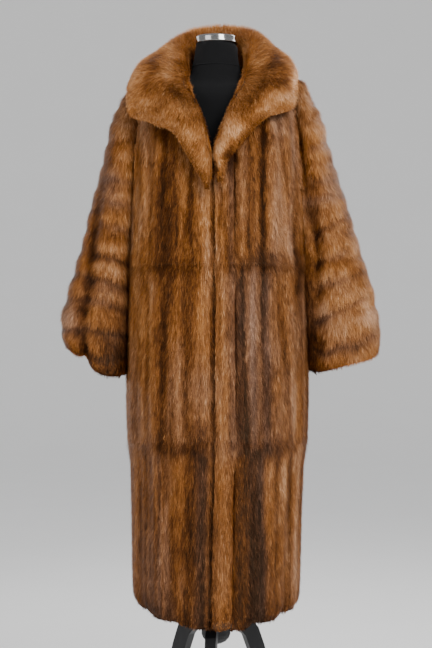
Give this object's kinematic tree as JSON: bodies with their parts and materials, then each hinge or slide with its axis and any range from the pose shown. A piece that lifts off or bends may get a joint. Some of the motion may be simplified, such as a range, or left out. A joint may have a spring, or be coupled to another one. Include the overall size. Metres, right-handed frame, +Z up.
{
  "type": "fur coat on dress form",
  "caption": "Full-length brown fur coat in three tiers with a wide rolled collar, hanging closed on a limbless black dress form on a three-legged stand.",
  "frame": {"origin": "on the floor, below the centre of the whole part's bounding box", "axes": "+Z up, the coat's front faces -Y, the wearer's left is +X"},
  "size_m": [0.7224, 0.4554, 1.6627],
  "materials": {
    "brown_fur": "long dense pile, glossy tips, darker in the creases between skins",
    "black_jersey": "matte knitted cover",
    "bright_metal": "polished",
    "black_lacquer": "satin black lacquer"
  },
  "bodies": {
    "root": {"front_left": "brown_fur", "front_right": "brown_fur", "back": "brown_fur", "sleeve_left": "brown_fur", "sleeve_right": "brown_fur", "collar": "brown_fur", "form_body": "black_jersey", "neck_cap": "bright_metal", "pole": "bright_metal", "flange": "black_lacquer", "hub": "black_lacquer", "leg_1": "black_lacquer", "leg_2": "black_lacquer", "leg_3": "black_lacquer", "glide_1": "bright_metal", "glide_2": "bright_metal", "glide_3": "bright_metal"}
  },
  "joints": []
}
